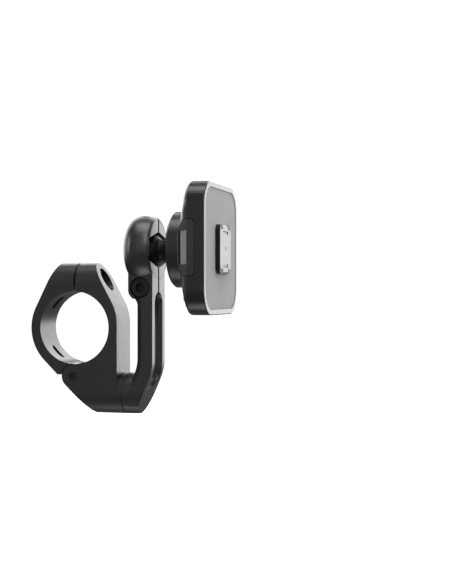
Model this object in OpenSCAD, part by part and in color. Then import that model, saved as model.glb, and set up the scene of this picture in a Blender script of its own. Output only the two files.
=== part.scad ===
// Handlebar phone mount: hinged bar clamp, offset arm, ball head and quick-release lock plate.
// Origin at the centre of the bar bore. Y runs along the bar, X points from the bar to the
// phone plate and Z is up. All sizes are in millimetres.

/* [Bar clamp] */
// Diameter of the handlebar that the clamp grips
bar_d = 31.8; // [31:0.1:32]
// Width of the clamp and the arm along the bar
body_w = 18; // [17:0.5:19]
// Radius of the jaw's outer face round the bar
jaw_r = 20.15; // [19.8:0.05:20.6]
// Gap between the clamp halves at the top
split_gap = 0.9; // [0.6:0.1:1.2]
// Height of the clamp's top above the bar's centre
clamp_top = 28.5; // [28:0.1:29]
// Depth of the clamp's foot below the bar's centre
clamp_foot = 37.8; // [37:0.1:38.5]
// Distance from the bar's centre to the clamp's front face
body_x = 19.7; // [19:0.1:20.5]

/* [Arm] */
// Distance from the bar's centre to the arm's outer face
face_x = 35.9; // [35.5:0.1:36.3]
// Distance from the bar's centre to the arm's inner face
inner_x = 28.3; // [27.8:0.1:28.8]
// Width of the groove milled in the arm's outer face
groove_w = 11.4; // [9:0.2:11.6]
// Width of the slit that lets the socket pinch the ball
slit_w = 1.75; // [1:0.05:1.9]

/* [Ball head] */
// Diameter of the ball
ball_d = 15; // [14.6:0.1:15]
// Height of the ball's centre above the bar's centre
head_z = 34; // [33.5:0.1:34.5]
// Distance from the bar's centre to the ball's centre
ball_x = 31.2; // [31:0.1:31.4]
// Outer radius of the round socket
socket_r = 14.9; // [14.5:0.1:15.2]
// Radius of the round disc between the ball and the plate
disc_r = 16.5; // [15.5:0.1:17]

/* [Phone plate] */
// Side of the square plate
plate_w = 56.3; // [55.5:0.1:57]
// Corner radius of the plate
plate_r = 11; // [9:0.5:11.5]
// Width of the lock tile
tile_w = 18.2; // [17.8:0.1:18.6]
// Height of the lock tile
tile_h = 21; // [20.8:0.1:21.4]

/* [Hidden] */
$fn = 64;

eps = 0.05;               // overlap of joined shapes, and overrun of cutting tools
fit = 0.05;               // radial clearance of a running fit
anodised = "#1c1d1f";
steel = "#8d9094";
black_steel = "#17181a";
black_plastic = "#141516";
spring_steel = "#b9bcc0";
seat_plastic = "#26272a";

// Clamp
end_r = body_w / 2;
top_c = clamp_top - end_r;
foot_c = end_r - clamp_foot;
bar_r = bar_d / 2;
jaw_slant = 26.5;         // lean of the jaw's upper face
body_slant = 28.3;        // lean of the body's upper face
body_top_x = 8;
blend_r = 20;             // round between the leaning face and the upright face
blend_z = clamp_top - (body_x - body_top_x) / tan(body_slant) - blend_r * tan(body_slant / 2);
seam_x = 21.6;            // plane where the arm turns against the clamp

// Hinge
pin_at = [-0.5, -21.3];
pin_r = 2;
knuckle_r = 5.33;
seam_r = 5.65;
tongue_w = 8.6;
tongue_r = 5;
slot_w = 9;
bevel_k = pin_at[0] + pin_at[1] - knuckle_r * sqrt(2);   // x + z on the body's 45 degree face
lip_z = -20.6;

// M5 socket cap screws
m5_r = 2.5;
m5_hole_r = 2.75;
m5_head_r = 4.25;
m5_head_h = 5;
m5_key = 4;               // across flats
bore5_r = 4.9;            // counterbore
washer_t = 0.8;
bolt_z = 21.2;            // height of the clamp bolt
clamp_seat = 3;
clamp_thread = 4.5;       // thread engagement in the jaw
pivot_seat = 12;
pivot_end = 29;

// Arm
arm_bevel = 2.6;          // 45 degree bevel along the arm's inner edges
bend_r = 20;              // inner bend from the arm into the foot
bend_c = [inner_x + arm_bevel - bend_r, -13];
slant_run = 0.42;         // lean of the arm's lower outer face, run over rise
slant_a = atan(slant_run);
slant_at = [31.75, -28.2];
outer_r = 23;             // round above the leaning lower face
corner_z = slant_at[1] + (face_x - slant_at[0]) / slant_run;
outer_z = corner_z + outer_r * tan(slant_a / 2);
foot_x = slant_at[0] + slant_run * (-clamp_foot - slant_at[1]);
boss_x = 24.9;
boss_r = 4;
boss_z = 16.4;
neck_r = 4.5;
neck_c = [inner_x - neck_r, boss_z - boss_r * sqrt(2) * 1.22];
pinch_at = [30.2, 17.5];  // axis of the bolt that pinches the socket
pinch_bore_r = 4.5;
pinch_seat = -3.2;
groove_r = groove_w / 2 + 0.15;
groove_c = face_x + sqrt(groove_r * groove_r - groove_w * groove_w / 4);
groove_top = 15.7;
groove_foot = -27;

// Socket
socket_x = 29.6;          // widest plane of the socket
socket_back = 8;          // depth of the round back behind that plane
mouth_x = 33.4;           // plane where the socket's mouth begins
ball_r = ball_d / 2;
cavity_r = 8.2;

// Head, measured along X
disc_back = 43.7;
disc_front = 50.4;
cover_floor = 52.2;
cover_in = 17;            // radius where the back cover meets the disc
frame_back = 56.6;
deck_in = 60.3;           // inner face of the frame's deck
deck_out = 62.3;          // face under the pad
pad_face = 64.05;
frame_front = 64.3;
tile_top = 66;
plate_top = 66.2;
rim = 0.6;                // bevel round the socket's mouth
frame_rim = 0.35;         // bevel round the frame's front edge
gap = 0.15;               // clearance round the sliding pieces
half = plate_w / 2;
front_w = plate_w - 2 * frame_rim;
boss_at = 20.5;           // corner screws, from the plate's centre
button_half = 11.85;
button_front = 60.2;
button_r = 1.6;
button_gap = 0.25;
button_in = 22.5;
ramp_in = 16;
latch_w = 8.4;
stem_w = 6.4;
post_y = 8;
post_w = 2.8;
post_h = 1.2;
foot_in = 5;
tab_in = 7.7;             // inner edge of a latch's tab
spring_x = 58.6;
spring_r = 1.02;
wire_r = 0.19;
coils = 4;

function arc_pts(c, r, a0, a1, n = 16) =
    [for (i = [0:n]) let (a = a0 + (a1 - a0) * i / n) [c[0] + r * cos(a), c[1] + r * sin(a)]];

// ---- building blocks ----

// Extrudes a YZ outline along X
module along_x(x0, x1) translate([x0, 0, 0]) rotate([90, 0, 90]) linear_extrude(x1 - x0) children();

// Extrudes an XZ outline along Y, centred on Y = 0
module across_y(w) rotate([90, 0, 0]) linear_extrude(w, center = true) children();

module rod_x(x0, x1, r, y = 0, z = 0) translate([x0, y, z]) rotate([0, 90, 0]) cylinder(r = r, h = x1 - x0);

module rod_y(y0, y1, r, at) translate([at[0], y0, at[1]]) rotate([-90, 0, 0]) cylinder(r = r, h = y1 - y0);

module cone_x(x0, x1, r0, r1, z = 0) translate([x0, 0, z]) rotate([0, 90, 0])
    cylinder(r1 = r0, r2 = r1, h = x1 - x0);

module round_rect(w, h, r) {
    square([w - 2 * r, h], center = true);
    square([w, h - 2 * r], center = true);
    for (x = [-1, 1], y = [-1, 1]) translate([x * (w / 2 - r), y * (h / 2 - r)]) circle(r);
}

// A plate outline placed on the head's centre line
module on_head(x0, x1) translate([0, 0, head_z]) along_x(x0, x1) children();

module box(x0, x1, y0, y1, z0, z1) translate([x0, y0, z0]) cube([x1 - x0, y1 - y0, z1 - z0]);

// Socket cap screw along +X: the head's seat is at x = 0 and the head points to +X
module cap_screw(r, len, head_r, head_h, key) {
    difference() {
        union() {
            rod_x(-len, eps, r);
            rod_x(0, head_h - 0.4, head_r);
            cone_x(head_h - 0.4 - 0.001, head_h, head_r, head_r - 0.4);
        }
        translate([head_h - key * 0.62, 0, 0]) rotate([0, 90, 0])
            cylinder(r = key / sqrt(3), h = key, $fn = 6);
    }
}

module washer_x(x0, x1, r, hole) difference() {
    rod_x(x0, x1, r);
    rod_x(x0 - 1, x1 + 1, hole);
}

// Compression spring between two heights, with its axis along Z
module spring_z(y, z0, z1) {
    sides = 6;
    steps = 12;
    n = coils * steps;
    rise = z1 - z0 - 2 * wire_r;
    rings = [for (i = [0:n]) let (a = 360 * coils * i / n, h = z0 + wire_r + rise * i / n)
        [for (k = [0:sides - 1]) let (b = 360 * k / sides, r = spring_r + wire_r * cos(b))
            [spring_x + r * cos(a), y + r * sin(a), h + wire_r * sin(b)]]];
    pts = [for (ring = rings) for (p = ring) p];
    walls = [for (i = [0:n - 1], k = [0:sides - 1])
        let (a = i * sides + k, b = i * sides + (k + 1) % sides) [a, a + sides, b + sides, b]];
    ends = [[for (k = [0:sides - 1]) k], [for (k = [sides - 1:-1:0]) n * sides + k]];
    polyhedron(points = pts, faces = concat(walls, ends), convexity = 10);
}

// ---- bar clamp ----

// End view shared by the clamp and the arm's foot: straight sides with round ends
module end_view(top = true) {
    translate([-end_r, foot_c]) square([body_w, top_c - foot_c + (top ? 0 : end_r)]);
    translate([0, foot_c]) circle(end_r);
    if (top) translate([0, top_c]) circle(end_r);
}

module body_side() polygon(concat(
    [[split_gap / 2, clamp_top], [body_top_x, clamp_top]],
    arc_pts([body_x - blend_r, blend_z], blend_r, body_slant, 0),
    [[body_x, -clamp_foot], [bevel_k + clamp_foot, -clamp_foot]],
    arc_pts(pin_at, knuckle_r, 225, 103, 24),
    [[split_gap / 2, 1 - bar_r]]));

module jaw_side(r) polygon(concat(
    [[-split_gap / 2, clamp_top], [(clamp_top * sin(jaw_slant) - jaw_r) / cos(jaw_slant), clamp_top]],
    arc_pts([0, 0], jaw_r, 180 - jaw_slant, 225, 32),
    [[-jaw_r * sqrt(2) - lip_z, lip_z]],
    arc_pts(pin_at, r, 180 - asin((lip_z - pin_at[1]) / r), 98, 20),
    [[-split_gap / 2, 1 - bar_r]]));

// Slot in the bore that keys a liner, at an angle round the bar
module key_slot(a) rotate([0, -a, 0]) translate([bar_r + 0.6, 0, 0]) {
    cube([2.6, 3.4, 4.2], center = true);
    for (s = [-1, 1]) translate([-1.3, 0, s * 2.1]) rotate([0, 90, 0]) cylinder(r = 1.7, h = 2.6);
}

module bar_bore() rod_y(-end_r - 1, end_r + 1, bar_r, [0, 0]);

// Notch across the top where the split meets the bore
module split_notch() translate([0, 0, bar_r - 0.1]) rotate([90, 0, 0])
    cylinder(r = 1.5, h = body_w + 2, center = true, $fn = 4);

module clamp_body() color(anodised) difference() {
    union() {
        intersection() {
            across_y(body_w) body_side();
            along_x(-10, 30) end_view();
        }
        rod_x(body_x - eps, seam_x - 0.25, end_r, z = foot_c);
        cone_x(seam_x - 0.251, seam_x, end_r, end_r - 0.25, z = foot_c);
    }
    bar_bore();
    split_notch();
    key_slot(45);
    key_slot(-45);
    rod_x(-2, 20, m5_hole_r, z = bolt_z);
    rod_x(clamp_seat, 25, bore5_r, z = bolt_z);
    rod_x(-10, 30, m5_hole_r, z = foot_c);
    rod_x(-10, pivot_seat, bore5_r, z = foot_c);
    rod_y(-slot_w / 2, slot_w / 2, seam_r, pin_at);
    rod_y(-end_r - 1, end_r + 1, pin_r, pin_at);
}

module clamp_jaw() color(anodised) difference() {
    union() {
        intersection() {
            union() {
                across_y(body_w) jaw_side(seam_r);
                across_y(tongue_w) jaw_side(tongue_r - 1);
            }
            along_x(-30, 10) end_view();
        }
        rod_y(-tongue_w / 2, tongue_w / 2, tongue_r, pin_at);
    }
    bar_bore();
    split_notch();
    key_slot(135);
    key_slot(225);
    rod_x(-split_gap / 2 - clamp_thread - 1, 1, m5_hole_r, z = bolt_z);
    rod_y(-end_r, end_r, pin_r + fit, pin_at);
}

module hinge_pin() color(steel) rod_y(-end_r + 0.25, end_r - 0.25, pin_r, pin_at);

module clamp_bolt() color(black_steel) translate([clamp_seat + washer_t, 0, bolt_z])
    cap_screw(m5_r, clamp_seat + washer_t + split_gap / 2 + clamp_thread, m5_head_r, m5_head_h, m5_key);

module clamp_washer() color(steel) translate([0, 0, bolt_z])
    washer_x(clamp_seat, clamp_seat + washer_t, m5_head_r + 0.25, m5_r + 0.1);

module pivot_bolt() color(black_steel) translate([pivot_seat - washer_t, 0, foot_c]) mirror([1, 0, 0])
    cap_screw(m5_r, pivot_end - pivot_seat + washer_t, m5_head_r, m5_head_h, m5_key);

module pivot_washer() color(steel) translate([0, 0, foot_c])
    washer_x(pivot_seat - washer_t, pivot_seat, m5_head_r + 0.25, m5_r + 0.1);

// ---- arm ----

module arm_side() polygon(concat(
    [[face_x, head_z - 6]],
    arc_pts([face_x - outer_r, outer_z], outer_r, 0, -slant_a, 10),
    [[foot_x, -clamp_foot], [seam_x + 0.6, -clamp_foot], [seam_x + 0.6, bend_c[1]], [inner_x, bend_c[1]]],
    arc_pts(neck_c, neck_r, 0, 45, 8),
    arc_pts([boss_x + boss_r, boss_z], boss_r, 225, 180, 8),
    [[boss_x, head_z - 6]]));

// Cutter section for the inner side of the arm: flat, with a 45 degree bevel at each edge
function bevel_pts(edge) = let (y = end_r - arm_bevel, r = arm_bevel + 1)
    [[0, -y - r], [edge + r, -y - r], [edge, -y], [edge, y], [edge + r, y + r], [0, y + r]];

module bend_cut() translate([bend_c[0], 0, bend_c[1]]) rotate([90, 0, 0])
    rotate_extrude($fn = 128) polygon(bevel_pts(bend_r - arm_bevel));

module inner_cut() {
    translate([0, 0, bend_c[1] - eps])
        linear_extrude(neck_c[1] - bend_c[1] + 2 * eps) polygon(bevel_pts(inner_x));
    translate([neck_c[0], 0, neck_c[1]]) rotate([90, 0, 0])
        rotate_extrude(angle = 45) polygon(bevel_pts(neck_r));
}

// Section of the round socket: a blunt domed back and a front that draws in to a flat face
module socket_side() {
    n = 2.5;
    rim_x = face_x - rim;
    polygon(concat(
        [[0, face_x], [0, socket_x - socket_back]],
        [for (a = [3:3:90]) [socket_r * pow(sin(a), 2 / n), socket_x - socket_back * pow(cos(a), 2 / n)]],
        [for (x = [1:6]) let (d = (rim_x - socket_x) * x / 6) [socket_r - d * d / 32, socket_x + d]],
        [[socket_r - pow(rim_x - socket_x, 2) / 32 - rim, face_x]]));
}

// Mouth of the socket: it flares out to the sides and to a low point at the slit
module mouth() hull() {
    on_head(mouth_x, mouth_x + 0.01) polygon([[0, 6.9], [7.2, 5.1], [7.2, -5.1], [0, -6.9], [-7.2, -5.1],
        [-7.2, 5.1]]);
    on_head(face_x + 0.09, face_x + 0.1) polygon([[0, 8.05], [13.4, 4.8], [13.4, -4.8], [0, -8.05],
        [-13.4, -4.8], [-13.4, 4.8]]);
}

// Round-bottomed groove down the outer face and round the bend
module groove() {
    top_z = groove_top - groove_w / 2;
    bend_z = corner_z + 1.5;
    run = bend_z - groove_foot - groove_w / 2;
    translate([groove_c, 0, bend_z]) {
        cylinder(r = groove_r, h = top_z - bend_z);
        translate([0, 0, top_z - bend_z]) sphere(groove_r);
        sphere(groove_r);
        rotate([0, slant_a, 0]) mirror([0, 0, 1]) {
            cylinder(r = groove_r, h = run);
            translate([0, 0, run]) sphere(groove_r);
        }
    }
}

module arm() color(anodised) difference() {
    union() {
        difference() {
            intersection() {
                across_y(body_w) arm_side();
                along_x(seam_x, face_x + 1) end_view(false);
            }
            bend_cut();
            inner_cut();
        }
        intersection() {
            union() {
                cone_x(seam_x + fit, seam_x + fit + 0.251, end_r - 0.25, end_r, z = foot_c);
                rod_x(seam_x + fit + 0.25, face_x, end_r, z = foot_c);
            }
            across_y(body_w + 2) polygon([[seam_x, foot_c + end_r + 1],
                [foot_x + slant_run * (body_w + 1), foot_c + end_r + 1], [foot_x, -clamp_foot],
                [seam_x, -clamp_foot]]);
        }
        translate([0, 0, head_z]) rotate([0, 90, 0]) rotate_extrude($fn = 128) socket_side();
    }
    groove();
    box(20, face_x + 1, -slit_w / 2, slit_w / 2, 13, head_z + socket_r + 1);
    translate([ball_x, 0, head_z]) sphere(cavity_r, $fn = 96);
    mouth();
    rod_x(seam_x - 1, pivot_end + 0.5, m5_r + fit, z = foot_c);
    rod_y(-end_r - 1, pinch_seat, pinch_bore_r, pinch_at);
    rod_y(-end_r - 1, 0, m5_hole_r, pinch_at);
    rod_y(0, end_r + 1, m5_r, pinch_at);
    on_head(face_x - 0.15, face_x + 1) difference() {
        circle(12.85);
        circle(12.7);
    }
}

module ball_bolt() color(black_steel) translate([pinch_at[0], pinch_seat - washer_t, pinch_at[1]])
    rotate([0, 0, -90]) cap_screw(m5_r, 12, m5_head_r, 4.7, m5_key);

module ball_bolt_washer() color(steel) translate([pinch_at[0], pinch_seat - washer_t, pinch_at[1]])
    rotate([0, 0, 90]) washer_x(0, washer_t, m5_head_r, m5_r + 0.1);

// ---- ball joint ----

// Bearing shell round the ball, between two planes measured from the ball's centre
module seat_shell(x0, x1) intersection() {
    translate([ball_x, 0, head_z]) difference() {
        sphere(cavity_r - fit, $fn = 96);
        sphere(ball_r + fit, $fn = 96);
    }
    rod_x(ball_x + x0, ball_x + x1, 10, z = head_z);
}

module rear_seat() color(seat_plastic) seat_shell(-9, -4.6);

module front_seat() color(seat_plastic) seat_shell(-1.4, 2);

module ball_stud() color(steel) translate([0, 0, head_z]) difference() {
    union() {
        translate([ball_x, 0, 0]) sphere(ball_r, $fn = 96);
        rod_x(ball_x, disc_back - 1, 4.4);
        cone_x(disc_back - 3.2, disc_back - 1, 4.4, 7);
        rod_x(disc_back - 1 - eps, disc_back - fit, 7);
        rod_x(disc_back - 1, disc_front - 0.8, 4);
    }
    rod_x(disc_back - 2, disc_front, 2);
}

module stud_screw() color(black_steel) translate([cover_floor + washer_t + fit, 0, head_z])
    cap_screw(2, 9, 3.5, 2.4, 2.5);

module stud_washer() color(steel) translate([0, 0, head_z])
    washer_x(cover_floor + fit, cover_floor + fit + washer_t, 5, 2.1);

// ---- head ----

// Places children at the three disc screws
module at_disc_screws() for (a = [90:120:330]) translate([0, 11 * cos(a), head_z + 11 * sin(a)]) children();

// Places children at the four corners of a square or rectangle on the plate
module at_corners(y, z) for (i = [-1, 1], j = [-1, 1]) translate([0, i * y, head_z + j * z]) children();

module back_disc() color(black_plastic) difference() {
    translate([0, 0, head_z]) {
        cone_x(disc_back, disc_back + 0.9 + 0.001, disc_r - 0.9, disc_r);
        rod_x(disc_back + 0.9, disc_front, disc_r);
    }
    rod_x(disc_back - 1, disc_front + 1, 4 + fit, z = head_z);
    at_disc_screws() rod_x(disc_front - 4.5, disc_front + 1, 1.25);
}

module disc_screws() color(black_steel) at_disc_screws() translate([cover_floor, 0, 0])
    cap_screw(1.25, 5.5, 2.1, 1.5, 1.5);

// Pillow-shaped solid: rounded squares that grow from a flat middle to the plate's edge
module pillow(levels) hull() for (l = levels)
    on_head(l[0] - 0.01, l[0]) round_rect(2 * l[1], 2 * l[1], l[2], $fn = 48);

// Side view of a release button, smaller all round by x than its opening
function button_side(x) = let (h = button_half - x, c = button_front - x - button_r) concat(
    arc_pts([c, button_r - h], button_r, -90, 0, 6), arc_pts([c, h - button_r], button_r, 0, 90, 6),
    [[55 + x / 3, h], [53 + x, h - 2.9], [51.7 + x, h - 7.2], [51.7 + x, 7.2 - h], [53 + x, 2.9 - h],
     [55 + x / 3, -h]]);

module button_openings() for (s = [-1, 1]) translate([0, s * (half - 3.2), head_z])
    across_y(8) polygon(button_side(0));

// Levels of the cover's outside: it leaves the disc steeply and meets the frame's straight side
function outer_level(t) = let (w = cover_in + (half - cover_in) * pow(t * (2 - t), 0.85))
    [disc_front + 0.01 + (frame_back - disc_front - 0.01) * t, w,
     w - (half - plate_r) * t * t * (3 - 2 * t)];

outer_levels = [for (i = [0:9]) outer_level(pow(i / 9, 1.4))];
inner_levels = [[cover_floor + 0.01, 15, 14.9], [53.4, 19.6, 17.5], [54.6, half - 5.2, 13],
    [frame_back + 0.2, half - 2, plate_r - 2]];

module back_cover() color(black_plastic) difference() {
    union() {
        difference() {
            pillow(outer_levels);
            pillow(inner_levels);
        }
        intersection() {
            pillow(outer_levels);
            at_corners(boss_at, boss_at) rod_x(52, frame_back, 3.3);
        }
    }
    button_openings();
    rod_x(disc_front - 1, cover_floor + 1, 2.2, z = head_z);
    at_disc_screws() rod_x(disc_front - 1, cover_floor + 1, 1.4);
    at_corners(boss_at, boss_at) {
        rod_x(50, 55.2, 2.3);
        rod_x(50, frame_back + 1, 1.4);
    }
}

module chassis_plate() color(spring_steel) difference() {
    union() {
        on_head(frame_back + 0.05, frame_back + 0.6) round_rect(plate_w - 4.4, plate_w - 4.4, plate_r - 2.2);
        for (s = [-1, 1]) translate([0, s * post_y, head_z])
            box(frame_back + 0.5, deck_in - 0.4, -post_w / 2, post_w / 2, -post_h, post_h);
    }
    for (s = [-1, 1]) translate([0, s * half, head_z]) box(50, 60, -8, 8, -12.2, 12.2);
    at_corners(boss_at, boss_at) rod_x(50, 60, 1.4);
}

module front_frame() color(anodised) difference() {
    union() {
        difference() {
            hull() {
                on_head(frame_back, frame_front - frame_rim)
                    round_rect(plate_w, plate_w, plate_r, $fn = 64);
                on_head(frame_front - 0.01, frame_front)
                    round_rect(front_w, front_w, plate_r - frame_rim, $fn = 64);
            }
            on_head(frame_back - 1, deck_in) round_rect(plate_w - 4, plate_w - 4, plate_r - 2);
        }
        at_corners(boss_at, boss_at) rod_x(frame_back + 0.7, deck_in + eps, 3.2);
        at_corners(12, 18) rod_x(58.6, deck_in + eps, 4.3);
    }
    on_head(deck_out, frame_front + 1) round_rect(plate_w - 4.7, plate_w - 4.7, plate_r - 2);
    button_openings();
    at_corners(boss_at, boss_at) rod_x(50, deck_out - 0.6, 1.25);
    at_corners(12, 18) rod_x(58, deck_in, 3.45);
    for (s = [-1, 1]) {
        translate([0, 0, head_z + s * 5.8]) box(58, 64, -stem_w / 2 - gap, stem_w / 2 + gap, -2, 2);
        rod_x(58, 64, 1.1, y = s * 3.2, z = head_z);
    }
}

module grip_pad() color("#8f9193") difference() {
    on_head(deck_out, pad_face) round_rect(plate_w - 4.9, plate_w - 4.9, plate_r - 2.1);
    on_head(deck_out - 1, pad_face + 1) round_rect(tile_w + 0.2, tile_h + 0.2, 2.5);
}

module magnets() color(spring_steel) at_corners(12, 18) rod_x(58.5, deck_in, 3.4);

module housing_screws() color(black_steel) at_corners(boss_at, boss_at) translate([55.2, 0, 0])
    mirror([1, 0, 0]) cap_screw(1.25, 6, 2.1, 1.5, 1.5);

// ---- lock tile and release ----

module lock_tile() color(black_plastic) difference() {
    on_head(deck_out, tile_top) round_rect(tile_w, tile_h, 2.4);
    for (s = [-1, 1]) {
        translate([0, 0, head_z + s * 8.5])
            box(deck_out - 1, tile_top + 1, -latch_w / 2 - gap, latch_w / 2 + gap, -4.7, 4.7);
        rod_x(deck_out - 1, tile_top - 0.5, 1, y = s * 3.2, z = head_z);
    }
}

module tile_plate() color("#c9cbcd") difference() {
    on_head(tile_top, plate_top) round_rect(tile_w, tile_h - 4, 1.6);
    for (s = [-1, 1]) translate([0, 0, head_z + s * 10.5])
        box(tile_top - 1, plate_top + 1, -latch_w / 2 - gap, latch_w / 2 + gap, -4.2, 4.2);
    rod_x(plate_top - 0.15, plate_top + 1, 1.1, z = head_z);
}

module tile_screws() color(black_steel) for (s = [-1, 1]) translate([deck_in, s * 3.2, head_z])
    mirror([1, 0, 0]) cap_screw(1, 4.4, 1.8, 1.3, 1.3);

// Latch above or below the tile. side is 1 for the upper one and -1 for the lower one
module latch(side) translate([0, 0, head_z]) mirror([0, 0, side < 0 ? 1 : 0]) {
    along_x(frame_back + 0.75, deck_in - 0.5) polygon([[-ramp_in, foot_in], [ramp_in, foot_in],
        [ramp_in, foot_in + 1], [ramp_in - 3.5, 9.5], [3.5 - ramp_in, 9.5], [-ramp_in, foot_in + 1]]);
    box(deck_in - 0.6, deck_out + 2.3, -stem_w / 2, stem_w / 2, 5.2, 7.6);
    box(deck_out + 1.4, deck_out + 2.3, -latch_w / 2, latch_w / 2, 5.2, 8.5);
    box(deck_out + 1.9, tile_top - 0.1, -latch_w / 2, latch_w / 2, 5.2, tab_in - 0.3);
    difference() {
        box(deck_out + 1.9, plate_top - 0.05, -latch_w / 2, latch_w / 2, tab_in, tile_h / 2);
        translate([plate_top - 0.05, 0, tile_h / 2]) rotate([0, 45, 0])
            cube([1, latch_w + 1, 1], center = true);
    }
}

module upper_latch() color("#c9cbcd") latch(1);

module lower_latch() color("#c9cbcd") latch(-1);

module latch_springs(side) for (y = [-post_y, post_y]) translate([0, 0, head_z])
    mirror([0, 0, side < 0 ? 1 : 0]) spring_z(y, post_h, foot_in);

module upper_latch_springs() color(spring_steel) latch_springs(1);

module lower_latch_springs() color(spring_steel) latch_springs(-1);

// Release button on the +Y side, with a wedge over each latch's ramp
module button() translate([0, 0, head_z]) {
    difference() {
        intersection() {
            translate([0, (half + button_in) / 2, 0])
                across_y(half - button_in) polygon(button_side(button_gap));
            translate([0, 0, -15]) linear_extrude(30) polygon([[61, half], [57, half], [52.6, half - 1.2],
                [51.6, half - 2.8], [51.6, button_in - 1], [61, button_in - 1]]);
        }
        translate([0, 0, -7]) linear_extrude(14) polygon([[56.6, half + 0.5], [56.6, half - 0.2],
            [53.3, half - 1.65], [53, half - 1], [53, half + 0.5]]);
    }
    for (s = [0, 1]) mirror([0, 0, s]) along_x(frame_back + 0.75, deck_in - 0.5)
        polygon([[button_in + eps, 5.9], [ramp_in + 0.4, 5.9], [ramp_in - 3, 9.3], [ramp_in - 3, 11.5],
            [button_in + eps, 11.5]]);
}

module right_button() color(black_plastic) button();

module left_button() color(black_plastic) mirror([0, 1, 0]) button();

clamp_body();
hinge_pin();
pivot_bolt();
pivot_washer();
clamp_jaw();
clamp_bolt();
clamp_washer();
arm();
ball_bolt();
ball_bolt_washer();
rear_seat();
front_seat();
ball_stud();
stud_screw();
stud_washer();
back_disc();
disc_screws();
back_cover();
chassis_plate();
front_frame();
grip_pad();
lock_tile();
tile_plate();
tile_screws();
magnets();
housing_screws();
upper_latch();
lower_latch();
upper_latch_springs();
lower_latch_springs();
left_button();
right_button();
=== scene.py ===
import math

import bpy
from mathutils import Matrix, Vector


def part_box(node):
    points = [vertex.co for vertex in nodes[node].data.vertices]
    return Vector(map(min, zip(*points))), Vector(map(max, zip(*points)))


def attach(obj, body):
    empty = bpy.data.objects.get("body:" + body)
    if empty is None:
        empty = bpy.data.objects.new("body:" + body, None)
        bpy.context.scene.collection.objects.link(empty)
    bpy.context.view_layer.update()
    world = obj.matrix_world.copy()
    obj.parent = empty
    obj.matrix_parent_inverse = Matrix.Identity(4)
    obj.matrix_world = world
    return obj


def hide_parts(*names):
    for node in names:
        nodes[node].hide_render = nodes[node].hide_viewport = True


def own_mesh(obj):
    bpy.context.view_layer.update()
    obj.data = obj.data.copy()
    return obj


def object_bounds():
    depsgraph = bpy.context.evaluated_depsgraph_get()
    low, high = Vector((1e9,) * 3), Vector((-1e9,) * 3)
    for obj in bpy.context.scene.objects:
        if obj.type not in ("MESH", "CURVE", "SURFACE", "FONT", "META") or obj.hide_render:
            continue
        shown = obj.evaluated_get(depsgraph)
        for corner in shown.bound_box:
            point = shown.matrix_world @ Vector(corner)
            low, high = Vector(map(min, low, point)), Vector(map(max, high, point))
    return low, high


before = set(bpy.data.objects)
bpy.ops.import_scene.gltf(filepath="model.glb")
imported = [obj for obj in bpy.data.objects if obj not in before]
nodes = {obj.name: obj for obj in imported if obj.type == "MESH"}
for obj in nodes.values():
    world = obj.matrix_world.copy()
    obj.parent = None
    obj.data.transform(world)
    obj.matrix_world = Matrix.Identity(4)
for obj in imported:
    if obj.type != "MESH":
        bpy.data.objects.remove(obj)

cad_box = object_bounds()
scene = bpy.context.scene
MM = 0.001


# ---------------------------------------------------------------- camera

def add_camera():
    """The photo's view: level, 16 mm above the bore's centre, 14.4 degrees round from the clamp's side."""
    cam = bpy.data.objects.new("camera", bpy.data.cameras.new("camera"))
    cam.location = (0.19758, -0.51148, 0.01561)
    cam.rotation_euler = (math.radians(90), 0, math.radians(14.389))
    cam.data.lens = 75.42
    cam.data.sensor_width = 36
    cam.data.clip_start = 0.01
    scene.collection.objects.link(cam)
    scene.camera = cam


# ---------------------------------------------------------------- materials

class Nodes:
    """A material's node tree, with short calls to add nodes and join them."""

    def __init__(self, name):
        self.mat = bpy.data.materials.new(name)
        self.mat.use_nodes = True
        self.tree = self.mat.node_tree
        self.bsdf = self.tree.nodes["Principled BSDF"]
        self.coords = self.add("ShaderNodeTexCoord").outputs["Object"]

    def add(self, kind, **values):
        node = self.tree.nodes.new(kind)
        for key, value in values.items():
            setattr(node, key, value)
        return node

    def join(self, a, b):
        self.tree.links.new(a, b)

    def noise(self, scale, detail=3.0, roughness=0.5, coords=None):
        node = self.add("ShaderNodeTexNoise")
        node.inputs["Scale"].default_value = scale
        node.inputs["Detail"].default_value = detail
        node.inputs["Roughness"].default_value = roughness
        self.join(coords or self.coords, node.inputs["Vector"])
        return node.outputs["Fac"]

    def stretched(self, x, y, z):
        node = self.add("ShaderNodeMapping")
        node.inputs["Scale"].default_value = (x, y, z)
        self.join(self.coords, node.inputs["Vector"])
        return node.outputs["Vector"]

    def ranged(self, source, low, high, start=0.3, end=0.7):
        node = self.add("ShaderNodeMapRange")
        for key, value in (("From Min", start), ("From Max", end), ("To Min", low), ("To Max", high)):
            node.inputs[key].default_value = value
        self.join(source, node.inputs["Value"])
        return node.outputs["Result"]

    def blend(self, factor, a, b):
        node = self.add("ShaderNodeMix", data_type="RGBA")
        node.inputs["A"].default_value = (*a, 1)
        node.inputs["B"].default_value = (*b, 1)
        self.join(factor, node.inputs["Factor"])
        return node.outputs["Result"]

    def bump(self, height, distance, strength=1.0, under=None):
        node = self.add("ShaderNodeBump")
        node.inputs["Strength"].default_value = strength
        node.inputs["Distance"].default_value = distance
        self.join(height, node.inputs["Height"])
        if under:
            self.join(under, node.inputs["Normal"])
        return node.outputs["Normal"]


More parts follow.
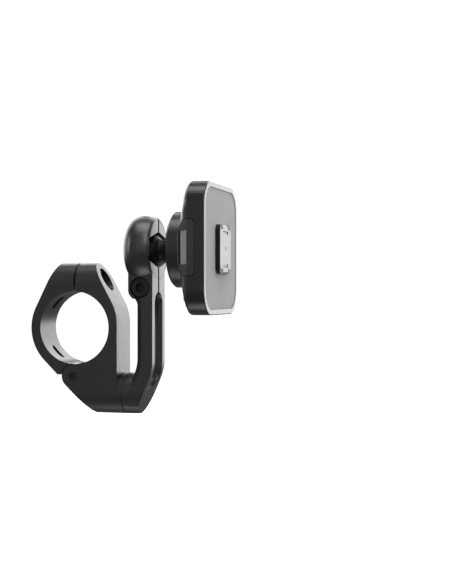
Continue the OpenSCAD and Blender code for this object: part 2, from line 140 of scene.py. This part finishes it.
def finish(name, base, second, rough, metallic, grain, grain_depth, specular=0.5):
    """A finish with slow colour change, fine grain and slightly uneven gloss.

    The colour wanders between base and second, and the roughness between the two values of rough.
    grain is the noise scale of the fine grain, and grain_depth is its depth in metres.
    """
    n = Nodes(name)
    colour = n.blend(n.ranged(n.noise(90, 4), 0, 1), base, second)
    n.join(colour, n.bsdf.inputs["Base Color"])
    n.join(n.ranged(n.noise(350, 5, 0.6), rough[0], rough[1]), n.bsdf.inputs["Roughness"])
    n.join(n.bump(n.noise(grain, 2, 0.6), grain_depth), n.bsdf.inputs["Normal"])
    n.bsdf.inputs["Metallic"].default_value = metallic
    n.bsdf.inputs["Specular IOR Level"].default_value = specular
    return n.mat


def turned(name, base, rough, spread):
    """Steel with fine marks from the lathe, round the X axis."""
    n = Nodes(name)
    marks = n.noise(1500, 3, 0.6, n.stretched(3.0, 0.25, 0.25))
    n.join(n.blend(n.ranged(marks, 0, 1), base, tuple(c * 0.8 for c in base)), n.bsdf.inputs["Base Color"])
    n.join(n.ranged(n.noise(500, 4), rough, rough + spread), n.bsdf.inputs["Roughness"])
    n.join(n.bump(marks, 0.00001), n.bsdf.inputs["Normal"])
    n.bsdf.inputs["Metallic"].default_value = 1.0
    return n.mat


def pad_rubber(name):
    """Grey microfibre-faced rubber: a tight crossed weave with a soft nap."""
    n = Nodes(name)
    tone = n.ranged(n.noise(60, 4), 0, 1)
    speck = n.ranged(n.noise(5200, 2), 0, 1, 0.35, 0.65)
    slow = n.blend(tone, (0.198, 0.201, 0.205), (0.216, 0.219, 0.223))
    mix = n.add("ShaderNodeMix", data_type="RGBA", blend_type="MULTIPLY")
    mix.inputs["Factor"].default_value = 0.35
    n.join(slow, mix.inputs["A"])
    n.join(speck, mix.inputs["B"])
    n.join(mix.outputs["Result"], n.bsdf.inputs["Base Color"])
    weave = []
    for axis in ("Y", "Z"):
        wave = n.add("ShaderNodeTexWave", wave_type="BANDS", bands_direction=axis)
        wave.inputs["Scale"].default_value = 640
        wave.inputs["Distortion"].default_value = 0.6
        n.join(n.coords, wave.inputs["Vector"])
        weave.append(wave.outputs["Fac"])
    both = n.add("ShaderNodeMath", operation="MULTIPLY")
    n.join(weave[0], both.inputs[0])
    n.join(weave[1], both.inputs[1])
    under = n.bump(both.outputs[0], 0.00003, 0.6)
    n.join(n.bump(n.noise(4000, 3), 0.00003, 0.7, under), n.bsdf.inputs["Normal"])
    n.join(n.ranged(n.noise(700, 3), 0.78, 0.92), n.bsdf.inputs["Roughness"])
    n.bsdf.inputs["Sheen Weight"].default_value = 0.25
    n.bsdf.inputs["Sheen Roughness"].default_value = 0.5
    return n.mat


anodised = finish("black_anodised", (0.020, 0.020, 0.021), (0.023, 0.023, 0.024),
                  rough=(0.31, 0.36), metallic=0.3, grain=6500, grain_depth=0.000005, specular=0.6)
plastic = finish("black_moulded_plastic", (0.012, 0.012, 0.013), (0.017, 0.017, 0.018),
                 rough=(0.28, 0.36), metallic=0.0, grain=3800, grain_depth=0.000006)
gloss_plastic = finish("black_smooth_plastic", (0.008, 0.008, 0.009), (0.012, 0.012, 0.013),
                       rough=(0.26, 0.34), metallic=0.0, grain=2500, grain_depth=0.000004)
bright_rim = finish("black_anodised_rim", (0.010, 0.010, 0.011), (0.013, 0.013, 0.014),
                    rough=(0.25, 0.29), metallic=0.2, grain=3000, grain_depth=0.0000004, specular=0.45)
black_oxide = finish("black_oxide_steel", (0.012, 0.012, 0.013), (0.017, 0.017, 0.017),
                     rough=(0.30, 0.38), metallic=0.4, grain=2600, grain_depth=0.000008, specular=0.35)
# Near-black, darker than the other black parts: its own black plus painted shade, for the ball deep in its
# socket and the shaded side of the lock tile
black_with_painted_shade = finish("black_painted_shade", (0.004, 0.004, 0.004), (0.006, 0.006, 0.006),
                    rough=(0.42, 0.50), metallic=0.0, grain=2600, grain_depth=0.000004, specular=0.2)
seat = finish("acetal_seat", (0.008, 0.008, 0.008), (0.01, 0.01, 0.01),
              rough=(0.4, 0.5), metallic=0.0, grain=3000, grain_depth=0.000004, specular=0.2)
blasted = finish("blasted_aluminium", (0.205, 0.208, 0.211), (0.23, 0.233, 0.236),
                 rough=(0.42, 0.52), metallic=0.3, grain=5200, grain_depth=0.00001)
steel = turned("turned_steel", (0.52, 0.525, 0.54), rough=0.24, spread=0.12)
nickel = finish("nickel_magnet", (0.60, 0.59, 0.57), (0.66, 0.65, 0.63),
                rough=(0.15, 0.25), metallic=1.0, grain=3000, grain_depth=0.000004)
rubber = pad_rubber("grey_grip_pad")

FINISHES = {
    anodised: ("clamp_body", "clamp_jaw", "arm"),
    bright_rim: ("front_frame",),
    plastic: ("back_cover", "left_button", "right_button"),
    gloss_plastic: ("back_disc",),
    # the lock tile and ball stud get the near-black with painted shade
    black_with_painted_shade: ("lock_tile", "ball_stud"),
    black_oxide: ("pivot_bolt", "clamp_bolt", "ball_bolt", "stud_screw", "disc_screws", "housing_screws",
                  "tile_screws", "ball_bolt_washer", "hinge_pin"),
    steel: ("pivot_washer", "clamp_washer", "stud_washer", "chassis_plate",
            "upper_latch_springs", "lower_latch_springs"),
    seat: ("rear_seat", "front_seat"),
    blasted: ("tile_plate", "upper_latch", "lower_latch"),
    nickel: ("magnets",),
    rubber: ("grip_pad",),
}

WELD_GAP = 0.000002                 # points closer than this, in metres, become one
SHARP_ANGLE = math.radians(32)      # edges sharper than this are rounded

# Width of the rounded edge on each CAD node, in millimetres
SOFT_EDGES = {
    "clamp_body": 0.35, "clamp_jaw": 0.35, "arm": 0.15, "front_frame": 0.12, "back_cover": 0.1,
    "back_disc": 0.3, "grip_pad": 0.25, "lock_tile": 0.25, "tile_plate": 0.15, "upper_latch": 0.15,
    "lower_latch": 0.15, "left_button": 0.3, "right_button": 0.3, "pivot_bolt": 0.15, "clamp_bolt": 0.15,
    "ball_bolt": 0.2, "clamp_washer": 0.12, "pivot_washer": 0.12, "hinge_pin": 0.3, "housing_screws": 0.1,
    "chassis_plate": 0.1,
}


def dress(node, material):
    """Gives a CAD node its finish, and rounds its sharp edges."""
    piece = nodes[node]
    piece.data.materials.clear()
    piece.data.materials.append(material)
    weld = piece.modifiers.new("weld", "WELD")
    weld.merge_threshold = WELD_GAP
    if node in SOFT_EDGES:
        bevel = piece.modifiers.new("soft_edges", "BEVEL")
        bevel.width = SOFT_EDGES[node] * MM
        bevel.segments = 3
        bevel.limit_method = "ANGLE"
        bevel.angle_limit = SHARP_ANGLE
        bevel.use_clamp_overlap = True
        bevel.harden_normals = False
    normals = piece.modifiers.new("normals", "WEIGHTED_NORMAL")
    normals.keep_sharp = True


for material, names in FINISHES.items():
    for name in names:
        dress(name, material)


# ---------------------------------------------------------------- springs

SPRING_TURNS = 4
STEPS_PER_TURN = 20
WIRE_RADIUS = 0.19 * MM
WIRE_SIDES = 8


def add_mesh(name, verts, faces, material):
    """Makes an object that is smooth, except on faces with more than four sides."""
    mesh = bpy.data.meshes.new(name)
    mesh.from_pydata(verts, [], faces)
    for face in mesh.polygons:
        face.use_smooth = len(face.vertices) <= 4
    mesh.materials.append(material)
    piece = bpy.data.objects.new(name, mesh)
    scene.collection.objects.link(piece)
    return piece


def add_coil(verts, faces, foot, outer, length):
    """Adds one wire coil, which stands on foot, to the points and faces of a mesh."""
    x, y, bottom = foot
    first = len(verts)
    steps = STEPS_PER_TURN * SPRING_TURNS
    for i in range(steps + 1):
        turn = 2 * math.pi * SPRING_TURNS * i / steps
        z = bottom + WIRE_RADIUS + (length - 2 * WIRE_RADIUS) * i / steps
        for k in range(WIRE_SIDES):
            a = 2 * math.pi * k / WIRE_SIDES
            r = outer - WIRE_RADIUS + WIRE_RADIUS * math.cos(a)
            verts.append((x + r * math.cos(turn), y + r * math.sin(turn), z + WIRE_RADIUS * math.sin(a)))
    for i in range(steps):
        for k in range(WIRE_SIDES):
            a = first + i * WIRE_SIDES + k
            b = first + i * WIRE_SIDES + (k + 1) % WIRE_SIDES
            faces.append((a, b, b + WIRE_SIDES, a + WIRE_SIDES))
    faces.append([first + k for k in reversed(range(WIRE_SIDES))])
    faces.append([first + steps * WIRE_SIDES + k for k in range(WIRE_SIDES)])


def spring_pair(node):
    """Draws two springs as fine wire on the head, in place of the spring node.
    """
    low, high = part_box(node)
    x = (low[0] + high[0]) / 2
    outer = (high[0] - low[0]) / 2
    length = high[2] - low[2]
    verts, faces = [], []
    for y in (low[1] + outer, high[1] - outer):
        add_coil(verts, faces, (x, y, low[2]), outer, length)
    piece = add_mesh(node + "_wire", verts, faces, steel)
    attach(piece, "head")
    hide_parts(node)
    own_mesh(piece)


spring_pair("upper_latch_springs")
spring_pair("lower_latch_springs")


# ---------------------------------------------------------------- floor and light

FLOOR_RADIUS = 1.9
COVE_RADIUS = 1.2
COVE_STEPS = 16
WALL_HEIGHT = 5
FLOOR_SIDES = 96
FLOOR_ROOM = 20 * MM


def white_paper():
    """Matt paper that glows, so the stage stays pale behind the part."""
    n = Nodes("white_paper")
    n.join(n.blend(n.noise(8), (0.92, 0.92, 0.92), (0.94, 0.94, 0.94)), n.bsdf.inputs["Base Color"])
    n.bsdf.inputs["Roughness"].default_value = 0.9
    n.bsdf.inputs["Emission Color"].default_value = (1, 1, 1, 1)
    n.bsdf.inputs["Emission Strength"].default_value = 0.8
    return n.mat


def add_floor():
    """A round floor, below all that the arm can reach, that curves up into a wall on all sides."""
    pivot_low, pivot_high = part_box("pivot_bolt")
    pivot_z = (pivot_low[2] + pivot_high[2]) / 2
    floor_z = 2 * pivot_z - cad_box[1][2] - FLOOR_ROOM
    profile = []
    for i in range(COVE_STEPS + 1):
        a = math.radians(90 * i / COVE_STEPS)
        profile.append((FLOOR_RADIUS + COVE_RADIUS * math.sin(a),
                        floor_z + COVE_RADIUS - COVE_RADIUS * math.cos(a)))
    profile.append((FLOOR_RADIUS + COVE_RADIUS, floor_z + WALL_HEIGHT))
    verts = [(0, 0, floor_z)]
    for i in range(FLOOR_SIDES):
        a = 2 * math.pi * i / FLOOR_SIDES
        verts += [(r * math.cos(a), r * math.sin(a), z) for r, z in profile]
    faces = []
    n = len(profile)
    for i in range(FLOOR_SIDES):
        a, b = 1 + i * n, 1 + (i + 1) % FLOOR_SIDES * n
        faces.append((0, a, b))
        faces += [(a + k, a + k + 1, b + k + 1, b + k) for k in range(n - 1)]
    floor = add_mesh("floor", verts, faces, white_paper())
    floor.visible_diffuse = False
    floor.visible_glossy = False
    floor.visible_shadow = False


def add_light(name, place, target, size, power):
    """A rectangular light at place that faces target, with its size in metres and its power in watts."""
    lamp = bpy.data.lights.new(name, "AREA")
    lamp.shape = "RECTANGLE"
    lamp.size, lamp.size_y = size
    lamp.energy = power
    lamp_object = bpy.data.objects.new(name, lamp)
    lamp_object.location = place
    lamp_object.rotation_euler = (Vector(target) - Vector(place)).to_track_quat("-Z", "Y").to_euler()
    scene.collection.objects.link(lamp_object)


def add_world():
    """An even, weak white light from all round."""
    world = bpy.data.worlds.new("studio")
    scene.world = world
    world.use_nodes = True
    background = world.node_tree.nodes["Background"]
    background.inputs["Color"].default_value = (1, 1, 1, 1)
    background.inputs["Strength"].default_value = 0.2


centre = (0.02, 0, 0.012)
add_camera()
add_floor()
add_world()
add_light("panel_behind", (0.55, 1.3, 0.72), (0.55, 0.0, 0.72), (1.7, 1.8), 30)
add_light("panel_behind_left", (-0.95, 1.0, 0.76), (-0.2, 0.0, 0.76), (1.2, 1.6), 17)
add_light("panel_left", (-1.1, 0.3, 0.2), centre, (0.6, 0.9), 3)
add_light("softbox_right", (0.95, 0.1, 0.25), centre, (0.8, 0.9), 8)
add_light("softbox_top", (0.05, -0.1, 0.95), centre, (0.6, 0.6), 6)
add_light("strip_left", (-0.78, -0.42, 0.25), centre, (0.18, 0.6), 3.2)
add_light("strip_front", (0.294, -0.715, 0.655), centre, (0.12, 0.75), 3.2)
add_light("floor_bounce", (0.05, -0.1, -0.75), centre, (0.45, 0.45), 2.2)
add_light("fill_front", (0.25, -1.2, 0.3), centre, (1.2, 1.0), 2.2)
scene.view_settings.view_transform = "Standard"
